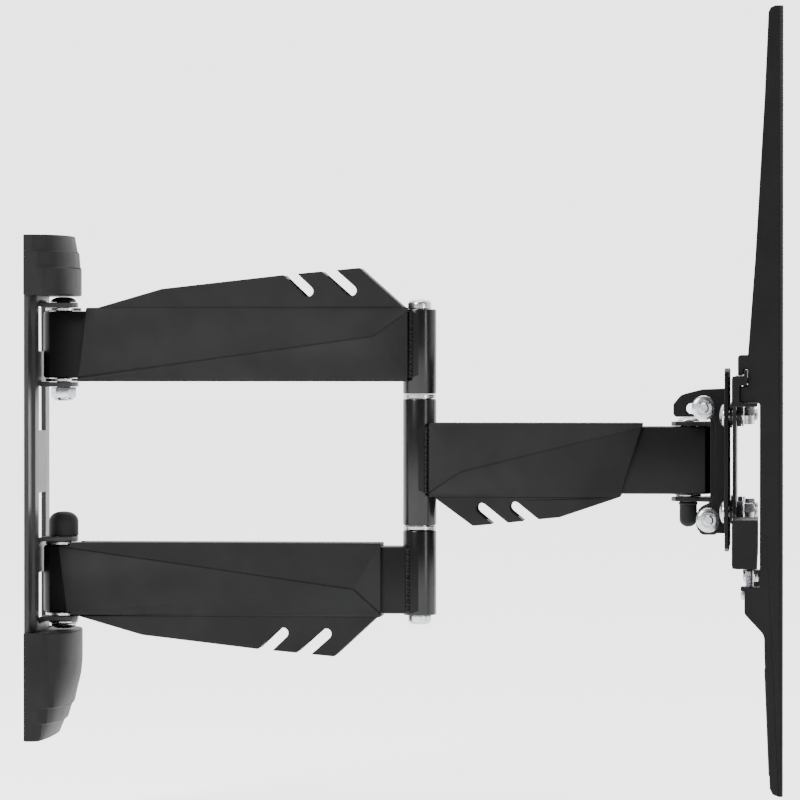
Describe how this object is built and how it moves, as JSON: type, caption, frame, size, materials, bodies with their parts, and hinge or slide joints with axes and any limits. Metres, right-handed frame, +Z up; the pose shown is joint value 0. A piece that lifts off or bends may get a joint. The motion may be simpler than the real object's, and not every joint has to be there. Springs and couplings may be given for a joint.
{
  "type": "full motion tv wall mount",
  "caption": "Black steel double arm wall bracket with swing, elbow, swivel, tilt and level joints, cable covers and hook-on vertical screen brackets.",
  "frame": {"origin": "centre of the wall plate's back face, on the wall", "axes": "+X away from the wall, +Y along the wall, +Z up"},
  "size_m": [0.4472, 0.232, 0.448],
  "materials": {
    "black_steel": "black powder coat",
    "black_plastic": "fine moulded texture",
    "zinc_steel": "bright zinc plate",
    "black_nylon": "smooth black"
  },
  "bodies": {
    "wall_bracket": {"wall_plate": "black_steel", "top_cover": "black_plastic", "bottom_cover": "black_plastic", "upper_pivot_bolt": "black_nylon", "upper_pivot_washer_top": "zinc_steel", "upper_pivot_washer_bottom": "zinc_steel", "upper_pivot_nut": "zinc_steel", "lower_pivot_bolt": "zinc_steel", "lower_pivot_head_washer": "zinc_steel", "lower_pivot_washer_bottom": "zinc_steel", "lower_pivot_washer_top": "zinc_steel", "lower_pivot_nut": "zinc_steel", "lower_pivot_nut_cap": "black_plastic"},
    "wall_arms": {"upper_arm": "black_steel", "lower_arm": "black_steel", "upper_arm_cover": "black_plastic", "lower_arm_cover": "black_plastic", "upper_pivot_bush": "black_nylon", "lower_pivot_bush": "black_nylon", "hinge_pin": "zinc_steel", "hinge_pin_cap": "zinc_steel"},
    "front_arm": {"front_arm": "black_steel", "front_arm_cover": "black_plastic", "elbow_bush_upper": "black_nylon", "elbow_bush_lower": "black_nylon", "swivel_bush": "black_nylon"},
    "swivel": {"swivel_yoke": "black_steel", "swivel_bolt": "zinc_steel", "swivel_washer": "zinc_steel", "swivel_cap_nut": "black_plastic", "tilt_lock_bolt": "zinc_steel", "tilt_lock_nut": "zinc_steel", "tilt_pivot_bolt": "zinc_steel", "tilt_pivot_nut": "zinc_steel"},
    "tilt_head": {"tilt_bracket": "black_steel", "level_bolt_1": "zinc_steel", "level_spacer_1": "black_nylon", "level_washer_1": "black_nylon", "level_nut_1": "zinc_steel", "level_bolt_2": "zinc_steel", "level_spacer_2": "black_nylon", "level_washer_2": "black_nylon", "level_nut_2": "zinc_steel", "level_bolt_3": "zinc_steel", "level_spacer_3": "black_nylon", "level_washer_3": "black_nylon", "level_nut_3": "zinc_steel", "level_bolt_4": "zinc_steel", "level_spacer_4": "black_nylon", "level_washer_4": "black_nylon", "level_nut_4": "zinc_steel"},
    "rail_plate": {"rail_plate": "black_steel"},
    "tv_bracket_left": {"tv_bracket_left": "black_steel"},
    "tv_bracket_right": {"tv_bracket_right": "black_steel"},
    "lock_screw_left": {"lock_screw_left": "zinc_steel"},
    "lock_screw_right": {"lock_screw_right": "zinc_steel"}
  },
  "joints": [
    {"name": "swing", "type": "hinge", "parent": "wall_bracket", "child": "wall_arms", "pos_m": [0.0177, 0, 0.015], "axis": [0, 0, 1], "range_deg": [-84, 84]},
    {"name": "elbow", "type": "hinge", "parent": "wall_arms", "child": "front_arm", "pos_m": [0.2319, 0, 0.015], "axis": [0, 0, 1], "range_deg": [-120, 120]},
    {"name": "swivel", "type": "hinge", "parent": "front_arm", "child": "swivel", "pos_m": [0.3915, 0, 0.0165], "axis": [0, 0, 1], "range_deg": [-60, 60]},
    {"name": "tilt", "type": "hinge", "parent": "swivel", "child": "tilt_head", "pos_m": [0.4038, 0, -0.0182], "axis": [0, 1, 0], "range_deg": [-3, 7]},
    {"name": "level", "type": "hinge", "parent": "tilt_head", "child": "rail_plate", "pos_m": [0.4192, 0, 0.0154], "axis": [1, 0, 0], "range_deg": [-3, 3]},
    {"name": "slide_left", "type": "slide", "parent": "rail_plate", "child": "tv_bracket_left", "axis": [0, -1, 0], "range_m": [0, 0.05]},
    {"name": "slide_right", "type": "slide", "parent": "rail_plate", "child": "tv_bracket_right", "axis": [0, 1, 0], "range_m": [0, 0.05]},
    {"name": "lock_left", "type": "slide", "parent": "tv_bracket_left", "child": "lock_screw_left", "axis": [0, 0, -1], "range_m": [0, 0.008]},
    {"name": "lock_right", "type": "slide", "parent": "tv_bracket_right", "child": "lock_screw_right", "axis": [0, 0, -1], "range_m": [0, 0.008]}
  ]
}
